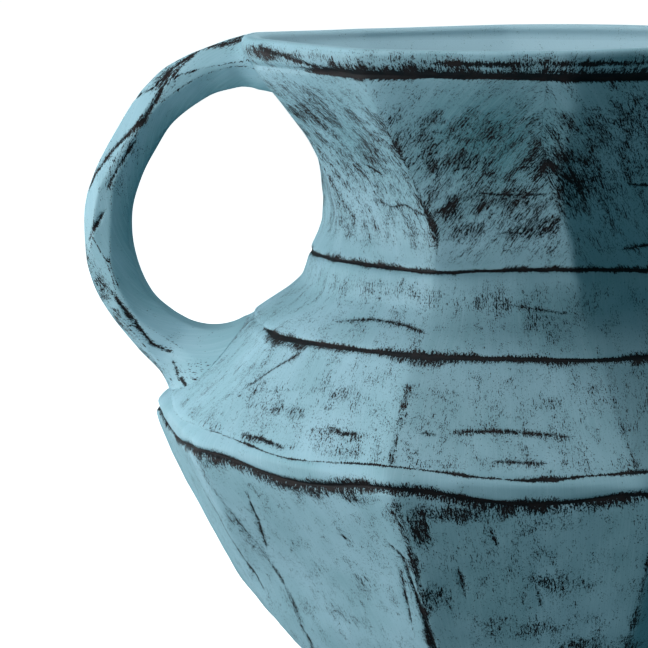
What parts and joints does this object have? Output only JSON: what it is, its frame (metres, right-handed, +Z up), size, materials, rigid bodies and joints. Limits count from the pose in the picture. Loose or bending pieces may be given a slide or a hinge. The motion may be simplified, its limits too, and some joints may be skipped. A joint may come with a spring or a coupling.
{
  "type": "amphora vase",
  "caption": "Hand-built two-handled amphora vase with a flared mouth, a faceted belly and a raised ridge, painted matte blue over a dark clay body.",
  "frame": {"origin": "centre of the foot ring, on the surface that the vase stands on", "axes": "+Z up out of the mouth, X from handle to handle with the left handle on -X, -Y towards the front"},
  "size_m": [0.3762, 0.3011, 0.311],
  "materials": {
    "distressed_paint": "matte dusty-blue paint dry-brushed over a dark brown slip that shows in the grooves",
    "bare_clay": "unpainted dark clay, matte and slightly gritty"
  },
  "bodies": {
    "root": {"foot_ring": "distressed_paint", "base_disc": "bare_clay", "lower_belly": "distressed_paint", "upper_belly": "distressed_paint", "shoulder_band": "distressed_paint", "shoulder_ring": "distressed_paint", "collar_ring": "distressed_paint", "neck": "distressed_paint", "lip_ring": "distressed_paint", "left_handle": "distressed_paint", "right_handle": "distressed_paint"}
  },
  "joints": []
}
